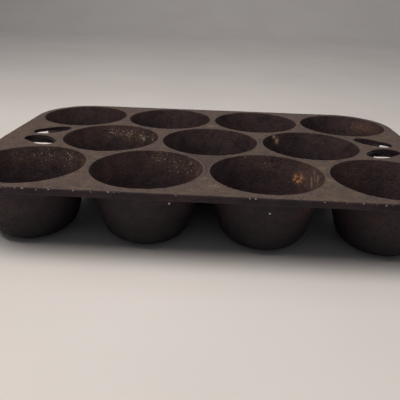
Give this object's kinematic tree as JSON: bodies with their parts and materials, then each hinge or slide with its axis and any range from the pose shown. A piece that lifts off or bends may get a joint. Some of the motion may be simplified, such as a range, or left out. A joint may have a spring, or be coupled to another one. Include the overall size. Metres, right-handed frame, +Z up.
{
  "type": "muffin pan",
  "caption": "Cast-iron muffin pan: a flat rounded deck with deep round cups in staggered rows and two finger holes at each end for lifting.",
  "frame": {"origin": "middle of the surface that the cups stand on, under the middle cup", "axes": "+X along the rows of cups, towards the right-hand finger holes; +Y from the front row to the back row; +Z up, out of the cups' mouths"},
  "size_m": [0.2826, 0.1938, 0.0415],
  "materials": {
    "bowl_iron": "rough cast, oiled and seasoned nearly black",
    "deck_iron": "rough cast, worn brown-grey seasoning"
  },
  "bodies": {
    "root": {"cup_back_1": "bowl_iron", "cup_back_2": "bowl_iron", "cup_back_3": "bowl_iron", "cup_back_4": "bowl_iron", "cup_middle_1": "bowl_iron", "cup_middle_2": "bowl_iron", "cup_middle_3": "bowl_iron", "cup_front_1": "bowl_iron", "cup_front_2": "bowl_iron", "cup_front_3": "bowl_iron", "cup_front_4": "bowl_iron", "deck_web": "deck_iron", "edge_rim": "deck_iron", "grip_left": "deck_iron", "grip_right": "deck_iron", "grip_rib_left": "deck_iron", "grip_rib_right": "deck_iron"}
  },
  "joints": []
}
